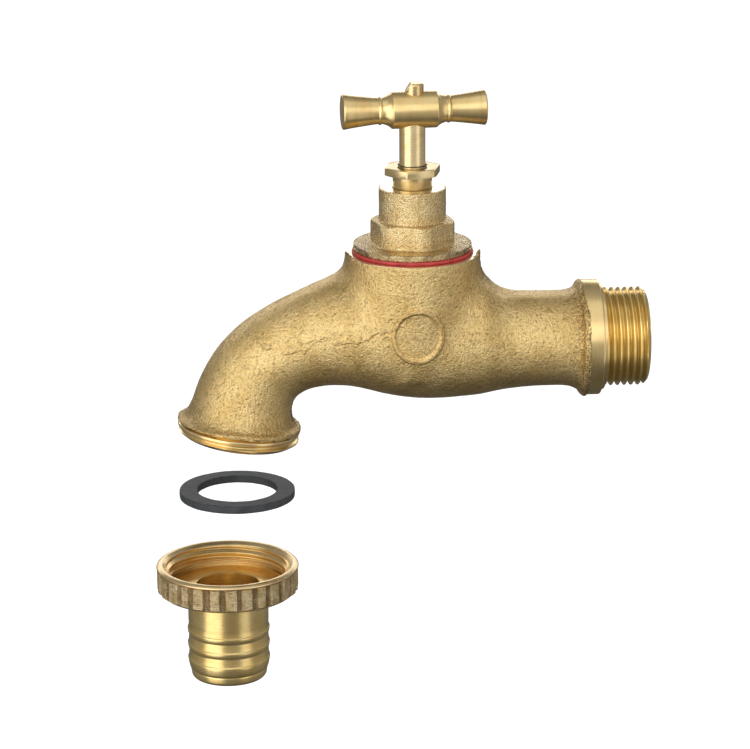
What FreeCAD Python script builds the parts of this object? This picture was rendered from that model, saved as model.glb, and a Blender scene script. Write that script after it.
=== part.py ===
import FreeCAD, Part
import math
import os

from FreeCAD import Placement, Rotation, Vector

# A screw-down bib tap with a hose union. Lengths are in millimetres and angles in degrees.
# The origin is where the inlet thread starts, on its axis. +X leaves the inlet, +Z is up, and
# the spindle and the spout lie in the XZ plane.

# Inlet: a male pipe thread of 3/4 inch, a step ring and a turned collar on the cast neck
inlet_thread_diameter = 26.44
inlet_thread_length = 11.7
inlet_thread_chamfer = 1.1
inlet_bore_diameter = 19.0
step_ring_diameter = 28.4
step_ring_width = 1.4
collar_diameter = 31.0
collar_width = 3.5
collar_bevel = 0.3
inlet_flare_length = 3.9
inlet_flare_land = 0.8
inlet_neck_diameter = 25.5
bore_bevel = 0.6

# Valve body under the bonnet
valve_distance = 50.85
neck_height = 24.8
neck_diameter = 35.9
neck_straight = 9.0
neck_rim_height = 0.5
neck_rim_width = 0.6
belly_depth = 15.9
belly_width = 33.4
belly_waist_depth = 8.0
chamber_diameter = 25.6
chamber_floor_height = 6.0
seat_height = 7.5
seat_diameter = 13.0
seat_land = 1.6
lower_passage_diameter = 13.0
lower_passage_drop = 6.8
lower_passage_reach = 7.0
ring_diameter = 14.8
ring_width = 1.2
ring_height = 5.8
ring_relief = 0.45

# Spout: its line runs from the valve body to the outlet
spout_root_distance = 15.5
spout_root_height = 3.8
spout_root_slope = 5.8
spout_root_diameter = 31.7
spout_waist_diameter = 20.0
spout_end_diameter = 27.2
spout_lead_in = 13.4
spout_lead_out = 14.7
spout_wall = 3.2

# Outlet: a short male pipe thread of 1 inch under the cast flare, leaning outward
outlet_distance = 97.5
outlet_drop = 21.4
outlet_lean = 8.0
outlet_flare_diameter = 32.6
outlet_flare_height = 4.8
outlet_thread_diameter = 32.9
outlet_thread_length = 4.2
outlet_thread_chamfer = 1.2
outlet_bore_diameter = 21.6

# Bonnet with its gasket
gasket_diameter = 32.1
gasket_thickness = 0.9
flange_diameter = 31.4
flange_thickness = 1.65
bonnet_hexagon = 20.6
bonnet_hexagon_height = 6.3
bonnet_hexagon_turn = -16.0
bonnet_collar_diameter = 17.8
bonnet_collar_height = 8.65
spigot_length = 9.0
spigot_clearance = 0.1
spigot_cavity_diameter = 18.6
spigot_cavity_depth = 3.6

# Gland
packing_box_diameter = 10.6
packing_box_depth = 6.3
packing_washer_thickness = 1.0
packing_thickness = 2.6
packing_clearance = 0.1
gland_neck_diameter = 10.4
gland_neck_showing = 3.5
gland_hexagon = 13.5
gland_hexagon_height = 2.1
gland_hexagon_turn = 15.0
gland_clearance = 0.1

# Spindle and handle
spindle_diameter = 6.9
spindle_clearance = 0.06
spindle_thread_diameter = 10.0
spindle_thread_clearance = 0.08
valve_lift = 5.6
open_stop_gap = 0.2
tenon_diameter = 4.4
tenon_clearance = 0.05
tip_diameter = 5.0
tip_height = 2.3
tip_shift = 0.5
tip_slope = 36.0
handle_height = 63.0
handle_shift = 0.4
handle_length = 38.0
handle_turn = 4.0
handle_barrel_diameter = 9.7
handle_barrel_length = 12.2
handle_bead_distance = 9.1
handle_bead_diameter = 7.5
handle_bead_width = 0.9
handle_waist_diameter = 6.9
handle_end_diameter = 9.2
handle_bevel = 0.25
spot_face_depth = 0.2

# Valve head
washer_clearance = 0.05
valve_washer_diameter = 16.4
valve_washer_thickness = 3.0
jumper_diameter = 17.2
jumper_thickness = 2.2
jumper_stem_diameter = 5.2
jumper_stem_length = 8.5
jumper_stem_clearance = 0.1
jumper_stud_diameter = 4.0
jumper_stud_clearance = 0.1
jumper_gap = 0.2
washer_nut_size = 7.0
washer_nut_thickness = 2.2

# Hose union, shown taken off and hanging level under the outlet
hose_washer_diameter = 31.2
hose_washer_bore = 21.6
hose_washer_thickness = 2.0
hose_washer_shift = 0.3
hose_washer_fall = 14.5
union_shift = 3.3
union_fall = 35.7
nut_rim_diameter = 38.7
nut_rim_height = 1.2
nut_rib_diameter = 38.4
nut_root_diameter = 36.8
nut_rib_count = 27
nut_rib_share = 0.5
nut_height = 7.9
nut_floor = 1.0
nut_rib_setback = 0.5
nut_thread_clearance = 0.35
nut_seat_clearance = 0.35
nut_seat_margin = 0.3
nut_mouth_bevel = 0.9
nut_lip_round = 0.6
round_middle_share = 0.3
tail_clearance = 0.35
tail_flange_diameter = 31.8
tail_flange_thickness = 0.9
tail_seat_gap = 0.1
tail_diameter = 21.8
tail_crest_diameter = 22.4
tail_root_diameter = 21.3
tail_bore_diameter = 17.2
tail_shank = 10.4
tail_barb_pitch = 4.2
tail_barb_count = 3
tail_end_diameter = 20.4
tail_end_taper = 4.7

# Small shaping sizes of the casting, the hexagons, the handle and the tail
section_points = 12
sewing_tolerance = 0.001
run_overlap = 1.5
neck_side_lead = 2.0
right_shoulder = ((6.7, 0.04, 0.15), (3.7, 0.34, 0.35), (1.4, 0.72, 0.5), (-1.5, 0.96, 0.65))
left_shoulder = ((0.0, 1.8), (0.06, 0.5), (0.14, 0.2))
shoulder_crest = 4.6
spout_sections = 6
barrel_bulge = 0.3
barrel_foot_share = 0.85
barrel_side_shares = (0.33, 0.5)
flare_bury = 1.5
flare_bury_step = 0.3
flare_start_step = 1.0
flare_hollow = 0.7
outlet_flare_side = ((0.1, 0.62), (0.48, 0.33), (1.0, 0.06))
outlet_rim_bevel = 1.8
passage_lead = 5.0
passage_mouth = ((6.0, 12.2, 28.0, 5.4), (15.0, 8.0, 28.0, 7.6), (23.0, 3.4, 27.0, 9.2))
passage_steps = (0.36, 0.52, 0.68, 0.84, 1.0)
way_in = ((0.3, 0.7), (0.9, 0.2))
way_in_end_share = 0.85
hexagon_bevel = 0.45
hexagon_corner_cut = 0.7
gland_bevel = 0.2
gland_corner_cut = 0.1
gasket_bore_clearance = 0.2
spindle_bevel = 0.4
handle_hollow = 0.12
cove_share = 0.3
stud_showing = 0.5
barb_land = 0.5
barb_lead = 0.6
tail_end_bevel = 0.9

# Places worked out from the sizes above
valve_x = -valve_distance
collar_start = -step_ring_width - collar_width
neck_start = collar_start - inlet_flare_length
outlet_axis = Vector(-math.sin(math.radians(outlet_lean)), 0, -math.cos(math.radians(outlet_lean)))
outlet_centre = Vector(-outlet_distance, 0, -outlet_drop)
outlet_rim = outlet_centre + outlet_axis * outlet_thread_length
bonnet_base = neck_height + gasket_thickness
hexagon_base = bonnet_base + flange_thickness
collar_base = hexagon_base + bonnet_hexagon_height
bonnet_top = collar_base + bonnet_collar_height
packing_floor = bonnet_top - packing_box_depth
gland_base = packing_floor + packing_washer_thickness + packing_thickness
gland_hexagon_base = bonnet_top + gland_neck_showing
gland_top = gland_hexagon_base + gland_hexagon_height
washer_base = seat_height + washer_clearance
jumper_base = washer_base + valve_washer_thickness
jumper_top = jumper_base + jumper_thickness
spindle_base = jumper_top + jumper_gap
spindle_thread_top = packing_floor - valve_lift - open_stop_gap
union_x = outlet_rim.x - union_shift
nut_top = outlet_rim.z - union_fall
nut_base = nut_top - nut_height
tail_flange_base = nut_base + nut_floor + tail_seat_gap
tail_flange_top = tail_flange_base + tail_flange_thickness
nut_bore_diameter = outlet_thread_diameter + 2 * nut_thread_clearance

UP = Vector(0, 0, 1)
EAST = Vector(1, 0, 0)
ORIGIN = Vector(0, 0, 0)


def lathe(start, *steps):
    """Turned solid about Z. A step of one (radius, height) is a line, of two an arc, of more a curve."""
    first = Vector(start[0], 0, start[1])
    here = first
    edges = []
    for step in steps:
        points = [Vector(radius, 0, height) for radius, height in step]
        if len(points) == 1:
            edges.append(Part.makeLine(here, points[0]))
        elif len(points) == 2:
            edges.append(Part.Arc(here, points[0], points[1]).toShape())
        else:
            curve = Part.BSplineCurve()
            curve.interpolate([here] + points)
            edges.append(curve.toShape())
        here = points[-1]
    edges.append(Part.makeLine(here, first))
    return Part.Face(Part.Wire(edges)).revolve(ORIGIN, UP, 360)


def put(shape, place, axis=UP):
    """The shape with its Z axis laid along the given axis and its origin at the given place."""
    moved = shape.copy()
    moved.Placement = Placement(place, Rotation(UP, axis))
    return moved


def disc(diameter, low, high):
    return Part.makeCylinder(diameter / 2, high - low, Vector(0, 0, low))


def on_valve_axis(shape):
    return put(shape, Vector(valve_x, 0, 0))


def hexagon(across_flats, low, high, turn):
    """Hexagonal prism about Z with one flat turned by the given angle from the front."""
    radius = across_flats / 2 / math.cos(math.radians(30))
    corners = []
    for index in range(7):
        angle = math.radians(60 * index - 90 + 30 + turn)
        corners.append(Vector(radius * math.cos(angle), radius * math.sin(angle), low))
    return Part.Face(Part.makePolygon(corners)).extrude(UP * (high - low))


def hexagon_envelope(across_flats, low, high, bevel, corner_cut):
    """Turned shape that takes the corners off a hexagon, with a bevel at its top."""
    corner = across_flats / 2 / math.cos(math.radians(30)) - corner_cut
    flat = across_flats / 2
    return lathe((0, low), [(corner, low)], [(corner, high - bevel)], [(flat, high)], [(0, high)])


def spout_point(t):
    """Point of the spout's line and its direction at t from 0, the valve body, to 1, the flare."""
    slope = math.radians(spout_root_slope)
    lead_in = Vector(-math.cos(slope), 0, -math.sin(slope)) * spout_lead_in
    start = Vector(valve_x - spout_root_distance, 0, spout_root_height)
    end = outlet_centre - outlet_axis * outlet_flare_height
    line = Part.BezierCurve()
    line.setPoles([start, start + lead_in, end - outlet_axis * spout_lead_out, end])
    return line.value(t), line.tangent(t)[0]


def spout_radius(t):
    weights = ((1 - t) ** 2, 2 * t * (1 - t), t ** 2)
    widths = (spout_root_diameter, spout_waist_diameter, spout_end_diameter)
    return sum(weight * width for weight, width in zip(weights, widths)) / 2


def section(place, along, half_width, top=None, bottom=None):
    """Ring of control points square to the line: half_width to each side, top above it, bottom below."""
    above = Vector(along.z, 0, -along.x)
    step = 2 * math.pi / section_points
    outward = 3 / (2 + math.cos(step))
    points = []
    for index in range(section_points):
        angle = step * index
        reach = (top or half_width) if angle < math.pi else (bottom or half_width)
        aside = Vector(0, half_width * math.cos(angle), 0)
        points.append(place + (aside + above * (reach * math.sin(angle))) * outward)
    return points


def tube(sections):
    """Closed solid with a smooth skin led through the sections and a flat face at each end."""
    count = len(sections)
    along_knots = list(range(count - 2))
    along_mults = [4] + [1] * (count - 4) + [4]
    round_knots = list(range(section_points + 1))
    round_mults = [1] * (section_points + 1)
    skin = Part.BSplineSurface()
    skin.buildFromPolesMultsKnots(sections, along_mults, round_mults, along_knots, round_knots,
                                  False, True, 3, 3)
    faces = [skin.toShape()]
    for knot in (along_knots[0], along_knots[-1]):
        faces.append(Part.Face(Part.Wire(skin.uIso(knot).toShape())))
    shell = Part.Shell(faces)
    shell.sewShape()
    solid = Part.Solid(shell)
    solid.fixTolerance(sewing_tolerance)
    return solid if solid.Volume > 0 else solid.reversed()


def run(grow=0.0):
    """The cast run from the inlet neck through the belly to the spout's end, with raised shoulders."""
    neck = inlet_neck_diameter / 2 + grow
    belly = belly_width / 2 + grow
    depth = belly_depth + grow
    root = spout_root_diameter / 2 + grow
    neck_side = valve_x + neck_diameter / 2
    shoulder = neck_height - neck_straight
    west = Vector(-1, 0, 0)
    rings = []
    for x in (neck_start + run_overlap, (neck_start + neck_side) / 2 + neck_side_lead):
        rings.append(section(Vector(x, 0, 0), west, neck))
    for ahead, rise, share in right_shoulder:
        half = neck + (belly - neck) * share
        top = neck + (shoulder + shoulder_crest - neck) * rise
        bottom = neck + (depth - neck) * share
        rings.append(section(Vector(neck_side + ahead, 0, 0), west, half, top, bottom))
    rings.append(section(Vector(valve_x, 0, 0), west, belly, shoulder + shoulder_crest, depth))
    start, along = spout_point(0)
    for t, extra in left_shoulder:
        place, along = spout_point(t)
        radius = spout_radius(t) + grow
        rings.append(section(place, along, radius, radius + extra, radius))
    for index in range(1, spout_sections + 1):
        t = left_shoulder[-1][0] + (1 - left_shoulder[-1][0]) * index / spout_sections
        place, along = spout_point(t)
        rings.append(section(place, along, spout_radius(t) + grow))
    end = outlet_centre - outlet_axis * flare_bury
    rings.append(section(end, outlet_axis, spout_end_diameter / 2 - flare_bury_step + grow))
    return tube(rings)


def barrel(grow=0.0):
    """Upright barrel of the valve body, from inside the belly to the faced top of the neck."""
    radius = neck_diameter / 2 + grow
    waist = belly_width / 2 + grow
    low = -belly_waist_depth
    top = neck_height + neck_rim_height
    low_share, high_share = barrel_side_shares
    side = [
        (waist + barrel_bulge, 0),
        (radius - barrel_bulge, neck_height * low_share),
        (radius, neck_height * high_share),
    ]
    shape = lathe((0, low), [(waist * barrel_foot_share, low)], side, [(radius, top)], [(0, top)])
    return on_valve_axis(shape)


def inlet():
    """Flare, collar, step ring and the plain cylinder of the inlet thread, turned about the X axis."""
    neck = inlet_neck_diameter / 2
    flare = collar_diameter / 2 - collar_bevel
    collar = collar_diameter / 2
    step = step_ring_diameter / 2
    thread = inlet_thread_diameter / 2
    end = inlet_thread_length
    flare_end = collar_start - inlet_flare_land
    middle = ((neck + flare) / 2 - flare_hollow, (neck_start + flare_end) / 2)
    return put(lathe(
        (0, neck_start),
        [(neck - flare_bury_step, neck_start)],
        [middle, (flare, flare_end)],
        [(flare, collar_start)],
        [(collar, collar_start + collar_bevel)],
        [(collar, -step_ring_width - collar_bevel)],
        [(collar - collar_bevel, -step_ring_width)],
        [(step, -step_ring_width)],
        [(step, 0)],
        [(thread, 0)],
        [(thread, end - inlet_thread_chamfer)],
        [(thread - inlet_thread_chamfer, end)],
        [(0, end)],
    ), ORIGIN, EAST)


def outlet():
    """Cast flare and the plain cylinder of the outlet thread, turned about the outlet's axis."""
    end = spout_end_diameter / 2
    flare = outlet_flare_diameter / 2
    thread = outlet_thread_diameter / 2
    length = outlet_thread_length
    rise = outlet_flare_height
    side = [(end + (flare - end) * share, -rise * height) for share, height in outlet_flare_side]
    return put(lathe(
        (0, -rise),
        [(end - flare_start_step, -rise)],
        side,
        [(flare, 0)],
        [(thread, 0)],
        [(thread, length - outlet_thread_chamfer)],
        [(thread - outlet_rim_bevel, length)],
        [(0, length)],
    ), outlet_centre, outlet_axis)


def lower_passage():
    """Way in from the inlet bore, dropping under the seat, and up through the seat."""
    bore = inlet_bore_diameter / 2
    passage = lower_passage_diameter / 2
    west = Vector(-1, 0, 0)
    start = valve_x + chamber_diameter / 2 + passage_lead
    middle = (start + valve_x) / 2
    rings = []
    for x, drop, radius in (
        (start + passage_lead, 0, bore),
        (start, lower_passage_drop * way_in[0][0], passage + (bore - passage) * way_in[0][1]),
        (middle, lower_passage_drop * way_in[1][0], passage + (bore - passage) * way_in[1][1]),
        (valve_x, lower_passage_drop, passage),
        (valve_x - lower_passage_reach, lower_passage_drop, passage * way_in_end_share),
    ):
        rings.append(section(Vector(x, 0, -drop), west, radius))
    way = tube(rings)
    inlet_bore = Part.makeCylinder(bore, inlet_thread_length - start, Vector(start + passage_lead / 2, 0, 0), EAST)
    riser = on_valve_axis(disc(seat_diameter, -lower_passage_drop, seat_height))
    mouth = put(lathe(
        (0, -bore_bevel),
        [(bore, -bore_bevel)],
        [(bore + bore_bevel, 0)],
        [(0, 0)],
    ), Vector(inlet_thread_length, 0, 0), EAST)
    return way.fuse([inlet_bore, riser, mouth])


def upper_passage():
    """Chamber under the bonnet with the raised seat in it, and the way on through the spout."""
    chamber = disc(chamber_diameter, chamber_floor_height, neck_height + neck_rim_height)
    facing = disc(neck_diameter - 2 * neck_rim_width, neck_height, neck_height + 2 * neck_rim_height)
    seat = disc(seat_diameter + 2 * seat_land, chamber_floor_height, seat_height)
    chamber = on_valve_axis(chamber.fuse(facing).cut(seat))
    rings = []
    for away, height, fall, radius in passage_mouth:
        slope = math.radians(fall)
        along = Vector(-math.cos(slope), 0, -math.sin(slope))
        rings.append(section(Vector(valve_x - away, 0, height), along, radius))
    for t in passage_steps:
        place, along = spout_point(t)
        rings.append(section(place, along, spout_radius(t) - spout_wall))
    end = outlet_centre - outlet_axis * flare_bury
    rings.append(section(end, outlet_axis, outlet_bore_diameter / 2 - flare_bury_step))
    way = tube(rings)
    bore = outlet_bore_diameter / 2
    mouth = Part.makeCylinder(bore, outlet_thread_length + 2 * flare_bury, end - outlet_axis, outlet_axis)
    return chamber.fuse([way, mouth])


def body_casting():
    ring_place = Vector(valve_x, -belly_width, ring_height)
    north = Vector(0, 1, 0)
    raised = Part.makeCylinder(ring_diameter / 2, belly_width, ring_place, north)
    raised = raised.cut(Part.makeCylinder(ring_diameter / 2 - ring_width, belly_width, ring_place, north))
    raised = raised.common(run(ring_relief).fuse(barrel(ring_relief)))
    outside = run().fuse([barrel(), inlet(), outlet(), raised])
    return outside.cut([lower_passage(), upper_passage()])


def bonnet():
    spigot = chamber_diameter / 2 - spigot_clearance
    collar = bonnet_collar_diameter / 2
    base = bonnet_base - spigot_length
    solid = lathe(
        (0, base),
        [(spigot, base)],
        [(spigot, bonnet_base)],
        [(flange_diameter / 2, bonnet_base)],
        [(flange_diameter / 2, hexagon_base)],
        [(collar, hexagon_base)],
        [(collar, bonnet_top)],
        [(0, bonnet_top)],
    )
    top = hexagon_base + bonnet_hexagon_height
    hexagonal = hexagon(bonnet_hexagon, hexagon_base, top, bonnet_hexagon_turn)
    hexagonal = hexagonal.common(hexagon_envelope(
        bonnet_hexagon, hexagon_base, top, hexagon_bevel, hexagon_corner_cut))
    cavity = disc(spigot_cavity_diameter, base, base + spigot_cavity_depth)
    bore = disc(spindle_thread_diameter + 2 * spindle_thread_clearance, base, bonnet_top)
    box = disc(packing_box_diameter, packing_floor, bonnet_top)
    return on_valve_axis(solid.fuse(hexagonal).cut([cavity, bore, box]))


def ring(outer, inner, low, high):
    return disc(outer, low, high).cut(disc(inner, low, high))


def bonnet_gasket():
    inner = chamber_diameter + 2 * gasket_bore_clearance
    return on_valve_axis(ring(gasket_diameter, inner, neck_height, bonnet_base))


def packing_washer():
    outer = packing_box_diameter - 2 * packing_clearance
    inner = spindle_diameter + 2 * gland_clearance
    return on_valve_axis(ring(outer, inner, packing_floor, packing_floor + packing_washer_thickness))


def gland_packing():
    outer = packing_box_diameter - 2 * packing_clearance
    inner = spindle_diameter + 2 * spindle_clearance
    return on_valve_axis(ring(outer, inner, packing_floor + packing_washer_thickness, gland_base))


def gland_nut():
    neck = disc(gland_neck_diameter, gland_base, gland_hexagon_base)
    head = hexagon(gland_hexagon, gland_hexagon_base, gland_top, gland_hexagon_turn)
    under = hexagon_envelope(gland_hexagon, -gland_top, -gland_hexagon_base, gland_bevel, gland_corner_cut)
    head = head.common(put(under, ORIGIN, UP * -1))
    bore = disc(spindle_diameter + 2 * gland_clearance, gland_base, gland_top)
    return on_valve_axis(neck.fuse(head).cut(bore))


def handle_seat():
    """Height of the spot face under the handle's barrel, where the spindle's shoulder sits."""
    barrel_radius = handle_barrel_diameter / 2
    return handle_height - math.sqrt(barrel_radius ** 2 - spindle_diameter ** 2 / 4) + spot_face_depth


def spindle():
    seat = handle_seat()
    thread = spindle_thread_diameter / 2
    stem = spindle_diameter / 2
    tenon = tenon_diameter / 2
    barrel_top = handle_height + handle_barrel_diameter / 2
    solid = lathe(
        (0, spindle_base),
        [(thread - spindle_bevel, spindle_base)],
        [(thread, spindle_base + spindle_bevel)],
        [(thread, spindle_thread_top - spindle_bevel)],
        [(thread - spindle_bevel, spindle_thread_top)],
        [(stem, spindle_thread_top)],
        [(stem, seat)],
        [(tenon, seat)],
        [(tenon, barrel_top)],
        [(0, barrel_top)],
    )
    tip = Part.makeCylinder(tip_diameter / 2, tip_height, Vector(tip_shift, 0, barrel_top))
    socket_diameter = jumper_stem_diameter + 2 * jumper_stem_clearance
    socket_top = jumper_top + jumper_stem_length + jumper_gap
    slope = Part.makeBox(tip_diameter, tip_diameter, 2 * tip_height)
    slope.translate(Vector(-tip_diameter, -tip_diameter / 2, 0))
    slope.rotate(ORIGIN, Vector(0, 1, 0), tip_slope)
    slope.translate(Vector(tip_shift - tip_diameter / 2, 0, barrel_top))
    solid = solid.cut(disc(socket_diameter, spindle_base, socket_top))
    return on_valve_axis(solid.fuse(tip.cut(slope)))


def tee_handle():
    """Turned cross bar: a barrel, coves, beads and arms that widen to flat ends."""
    barrel_radius = handle_barrel_diameter / 2
    waist = handle_waist_diameter / 2
    bead = handle_bead_diameter / 2
    end = handle_end_diameter / 2
    half = handle_length / 2
    low = handle_bead_distance - handle_bead_width / 2
    high = handle_bead_distance + handle_bead_width / 2
    shoulder = handle_barrel_length / 2
    cove = (waist + (barrel_radius - waist) * cove_share, shoulder + (low - shoulder) * cove_share)
    arm = lathe(
        (0, 0),
        [(barrel_radius, 0)],
        [(barrel_radius, shoulder - handle_bevel)],
        [(barrel_radius - handle_bevel, shoulder)],
        [cove, (waist, low)],
        [(bead, handle_bead_distance), (waist, high)],
        [((waist + end) / 2 - handle_hollow, (high + half) / 2), (end, half - handle_bevel)],
        [(end - handle_bevel, half)],
        [(0, half)],
    )
    bar = arm.fuse(arm.mirror(ORIGIN, UP)).removeSplitter()
    turn = math.radians(handle_turn)
    bar = put(bar, Vector(valve_x + handle_shift, 0, handle_height), Vector(math.cos(turn), math.sin(turn), 0))
    hole = on_valve_axis(disc(tenon_diameter + 2 * tenon_clearance, handle_height - barrel_radius,
                              handle_height + barrel_radius))
    spot = on_valve_axis(disc(spindle_diameter + 2 * tenon_clearance, handle_height - barrel_radius,
                              handle_seat()))
    return bar.cut([hole, spot])


def valve_jumper():
    plate = disc(jumper_diameter, jumper_base, jumper_top)
    stem = disc(jumper_stem_diameter, jumper_top, jumper_top + jumper_stem_length)
    stud_end = washer_base - washer_nut_thickness - stud_showing
    stud = disc(jumper_stud_diameter, stud_end, jumper_base)
    return on_valve_axis(plate.fuse([stem, stud]))


def valve_washer():
    inner = jumper_stud_diameter + 2 * jumper_stud_clearance
    return on_valve_axis(ring(valve_washer_diameter, inner, washer_base, jumper_base))


def washer_nut():
    low = washer_base - washer_nut_thickness
    solid = hexagon(washer_nut_size, low, washer_base, 0)
    return on_valve_axis(solid.cut(disc(jumper_stud_diameter + 2 * jumper_stud_clearance, low, washer_base)))


def hose_washer():
    top = outlet_rim.z - hose_washer_fall
    solid = ring(hose_washer_diameter, hose_washer_bore, top - hose_washer_thickness, top)
    return put(solid, Vector(outlet_rim.x - hose_washer_shift, 0, 0))


def ribbed_prism(low, high):
    """Prism with the castellated outline of the union nut's grip."""
    root = nut_root_diameter / 2
    rib = nut_rib_diameter / 2
    pitch = 2 * math.pi / nut_rib_count
    edges = []

    def point(radius, angle):
        return Vector(radius * math.cos(angle), radius * math.sin(angle), low)

    for index in range(nut_rib_count):
        start = index * pitch
        end = start + pitch * nut_rib_share
        after = start + pitch
        edges.append(Part.Arc(point(rib, start), point(rib, (start + end) / 2), point(rib, end)).toShape())
        edges.append(Part.makeLine(point(rib, end), point(root, end)))
        edges.append(Part.Arc(point(root, end), point(root, (end + after) / 2), point(root, after)).toShape())
        edges.append(Part.makeLine(point(root, after), point(rib, after)))
    return Part.Face(Part.Wire(edges)).extrude(UP * (high - low))


def union_nut():
    rim = nut_rim_diameter / 2
    rim_base = nut_top - nut_rim_height
    middle = nut_lip_round * round_middle_share
    lip = lathe(
        (0, rim_base),
        [(rim, rim_base)],
        [(rim, nut_top - nut_lip_round)],
        [(rim - middle, nut_top - middle), (rim - nut_lip_round, nut_top)],
        [(0, nut_top)],
    )
    grip = ribbed_prism(nut_base + nut_rib_setback, rim_base)
    core = disc(nut_root_diameter, nut_base, rim_base)
    bore = disc(nut_bore_diameter, tail_flange_top + nut_seat_margin, nut_top)
    seat = disc(tail_flange_diameter + 2 * nut_seat_clearance, nut_base + nut_floor, nut_top)
    hole = disc(tail_diameter + 2 * tail_clearance, nut_base, nut_top)
    mouth = nut_bore_diameter / 2
    bevel = lathe((0, nut_top - nut_mouth_bevel), [(mouth, nut_top - nut_mouth_bevel)],
                  [(mouth + nut_mouth_bevel, nut_top)], [(0, nut_top)])
    return put(lip.fuse([grip, core]).cut([bore, seat, hole, bevel]), Vector(union_x, 0, 0))


def hose_tail():
    flange = tail_flange_diameter / 2
    shank = tail_diameter / 2
    crest = tail_crest_diameter / 2
    root = tail_root_diameter / 2
    end = tail_end_diameter / 2
    here = nut_base - tail_shank
    steps = [[(crest, here)], [(crest, here - barb_land)]]
    for index in range(1, tail_barb_count):
        valley = here - (tail_barb_pitch + barb_land) / 2
        here -= tail_barb_pitch
        steps.append([(root, valley), (crest, here)])
        steps.append([(crest, here - barb_land)])
    base = here - barb_land - tail_end_taper
    solid = lathe(
        (0, tail_flange_top),
        [(flange, tail_flange_top)],
        [(flange, tail_flange_base)],
        [(shank, tail_flange_base)],
        [(shank, nut_base - tail_shank + barb_lead)],
        *steps,
        [(end + tail_end_bevel, base + tail_end_bevel)],
        [(end, base)],
        [(0, base)],
    )
    return put(solid.cut(disc(tail_bore_diameter, base, tail_flange_top)), Vector(union_x, 0, 0))


pieces = {
    "body_casting": body_casting,
    "bonnet": bonnet,
    "bonnet_gasket": bonnet_gasket,
    "packing_washer": packing_washer,
    "gland_packing": gland_packing,
    "gland_nut": gland_nut,
    "spindle": spindle,
    "tee_handle": tee_handle,
    "valve_jumper": valve_jumper,
    "valve_washer": valve_washer,
    "washer_nut": washer_nut,
    "hose_washer": hose_washer,
    "union_nut": union_nut,
    "hose_tail": hose_tail,
}

os.makedirs("parts", exist_ok=True)
for name, make in pieces.items():
    shape = make()
    print(name, shape.isValid(), len(shape.Solids), round(shape.Volume, 1))
    shape.exportStep(f"parts/{name}.step")
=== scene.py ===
import math

import bmesh
import bpy
import numpy as np
from mathutils import Matrix, Vector, noise


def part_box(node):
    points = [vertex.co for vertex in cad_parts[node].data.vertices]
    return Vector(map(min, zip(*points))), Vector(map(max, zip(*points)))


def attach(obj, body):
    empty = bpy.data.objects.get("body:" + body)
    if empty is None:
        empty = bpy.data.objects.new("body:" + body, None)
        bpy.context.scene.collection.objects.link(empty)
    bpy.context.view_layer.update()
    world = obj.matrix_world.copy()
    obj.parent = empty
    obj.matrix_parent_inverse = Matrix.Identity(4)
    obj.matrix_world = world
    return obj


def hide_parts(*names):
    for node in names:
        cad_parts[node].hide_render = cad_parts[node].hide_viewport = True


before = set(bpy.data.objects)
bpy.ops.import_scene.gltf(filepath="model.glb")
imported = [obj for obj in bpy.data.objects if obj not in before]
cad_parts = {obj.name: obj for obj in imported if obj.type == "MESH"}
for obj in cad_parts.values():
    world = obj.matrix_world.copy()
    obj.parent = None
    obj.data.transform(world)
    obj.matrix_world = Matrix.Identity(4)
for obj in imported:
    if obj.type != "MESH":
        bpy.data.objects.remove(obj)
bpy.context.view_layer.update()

# A screw-down bib tap with its hose union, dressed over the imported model. Sizes are in millimetres
# until a mesh is made. The origin is where the inlet thread starts, +X leaves the inlet, +Z is up.
MM = 0.001
UP = (0, 0, 1)

VALVE_X = -50.85
VALVE = (VALVE_X, 0, 0)
NECK_TOP = 24.8
NECK_FACE = NECK_TOP - 0.4
NECK_EDGE = NECK_TOP - 1.6

# The inlet's machined part covers the casting from here on, about +X
INLET_CUT = -4.6
INLET_CREST = 13.22
INLET_PITCH = 1.814
COLLAR_RADIUS = 15.5

OUTLET_CENTRE = Vector((-97.5, 0, -21.4))
OUTLET_LEAN = math.radians(8)
OUTLET_AXIS = Vector((-math.sin(OUTLET_LEAN), 0, -math.cos(OUTLET_LEAN)))
OUTLET_SIDE = Vector((math.cos(OUTLET_LEAN), 0, -math.sin(OUTLET_LEAN)))
OUTLET_RIM = 4.2
OUTLET_CREST = 16.45
OUTLET_PITCH = 2.309
OUTLET_PHASE = -0.214
# How far the nut's foot lies past the casting's end when the union is screwed home
SEATED_REACH = 8.4

RING_PLACE = Vector((VALVE_X, 0, 6.0))
RING_HALF_WIDTH = 6.35
RING_HALF_HEIGHT = 7.0
RING_BAND = 0.75

HANDLE_HEIGHT = 63.0
HANDLE_SHIFT = 0.4
HANDLE_TURN = math.radians(4)
HANDLE_LINE = (math.cos(HANDLE_TURN), math.sin(HANDLE_TURN), 0)
TIP_SLOPE = math.radians(36)

# The grids that the two rough pieces are made anew on
SKIN_GRID = 0.58
BONNET_GRID = 0.25

NUT_RIBS = 27
BARB_PITCH = 4.2
BARB_COUNT = 3
SHANK = 10.4

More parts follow.
